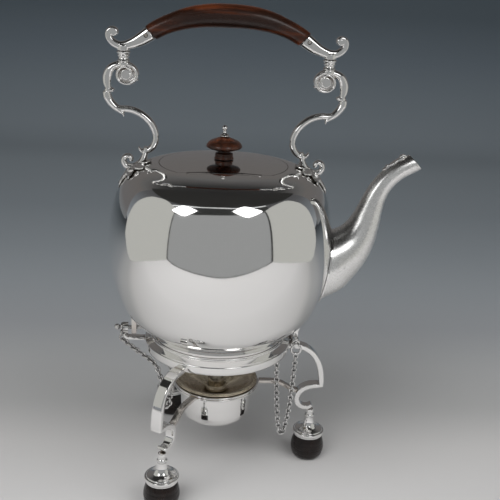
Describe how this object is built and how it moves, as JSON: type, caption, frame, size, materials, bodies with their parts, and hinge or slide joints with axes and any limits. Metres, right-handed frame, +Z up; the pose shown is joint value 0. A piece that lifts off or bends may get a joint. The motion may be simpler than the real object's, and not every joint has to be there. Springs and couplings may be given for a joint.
{
  "type": "spirit kettle on stand",
  "caption": "Round polished kettle with hinged flush lid, curved spout and scrolled handle, tilting on a pinned three-legged stand over a spirit lamp.",
  "frame": {"origin": "middle of the whole object's footprint box, on the table", "axes": "+X towards the spout, +Z up, the kettle's round body centred 28.86 mm towards -X; lid hinge on the -Y side"},
  "size_m": [0.2308, 0.164, 0.35],
  "materials": {
    "silver": "polished silver",
    "aged_silver": "silver, a little tarnished",
    "wood": "polished red-brown hardwood",
    "dark_wood": "polished near-black brown hardwood",
    "cotton": "woven cotton wick"
  },
  "bodies": {
    "stand": {"stand_ring": "silver", "lamp_ring": "silver", "stand_hinge_eye_front": "silver", "stand_hinge_eye_back": "silver", "stand_lock_eye": "silver", "chain_staple_spout_side": "aged_silver", "chain_staple_far_side": "aged_silver", "chain_spout_side": "aged_silver", "chain_far_side": "aged_silver", "leg_spout_side": "silver", "lamp_bracket_spout_side": "silver", "foot_cap_spout_side": "silver", "foot_bun_spout_side": "dark_wood", "leg_front": "silver", "lamp_bracket_front": "silver", "foot_cap_front": "silver", "foot_bun_front": "dark_wood", "leg_back": "silver", "lamp_bracket_back": "silver", "foot_cap_back": "silver", "foot_bun_back": "dark_wood"},
    "kettle": {"kettle_body": "silver", "lid_seat": "aged_silver", "hinge_knuckle_left": "silver", "hinge_knuckle_right": "silver", "lid_hinge_pin": "aged_silver", "spout": "silver", "spout_collar": "silver", "spout_leaf": "silver", "grip": "wood", "kettle_hinge_lug": "silver", "kettle_lock_lug": "silver", "handle_foot_spout_side": "silver", "handle_scroll_spout_side": "silver", "handle_collar_spout_side": "silver", "grip_socket_spout_side": "silver", "grip_rivet_spout_side": "silver", "handle_foot_far_side": "silver", "handle_scroll_far_side": "silver", "handle_collar_far_side": "silver", "grip_socket_far_side": "silver", "grip_rivet_far_side": "silver"},
    "lid": {"lid": "silver", "lid_knuckle": "silver", "knob_neck": "wood", "knob_cap": "wood", "knob_finial": "silver", "knob_nut": "aged_silver"},
    "lamp": {"lamp_pot": "silver", "lamp_dish": "silver"},
    "burner": {"wick_tube": "silver", "wick": "cotton"},
    "hinge_pin": {"hinge_pin": "aged_silver"},
    "lock_pin": {"lock_pin": "aged_silver"}
  },
  "joints": [
    {"name": "kettle_tilt", "type": "hinge", "parent": "stand", "child": "kettle", "pos_m": [0.03114, 0, 0.104], "axis": [0, 1, 0], "range_deg": [0, 60]},
    {"name": "lid_hinge", "type": "hinge", "parent": "kettle", "child": "lid", "pos_m": [-0.02886, -0.036, 0.23987], "axis": [1, 0, 0], "range_deg": [0, 95]},
    {"name": "hinge_pin_pull", "type": "slide", "parent": "stand", "child": "hinge_pin", "axis": [0, -1, 0], "range_m": [0, 0.03], "deforming": ["chain_spout_side"]},
    {"name": "lock_pin_pull", "type": "slide", "parent": "stand", "child": "lock_pin", "axis": [-1, 0, 0], "range_m": [0, 0.015], "deforming": ["chain_far_side"]},
    {"name": "lamp_lift", "type": "slide", "parent": "stand", "child": "lamp", "axis": [0, 0, 1], "range_m": [0, 0.016]},
    {"name": "burner_lift", "type": "slide", "parent": "lamp", "child": "burner", "axis": [0, 0, 1], "range_m": [0, 0.01]}
  ]
}
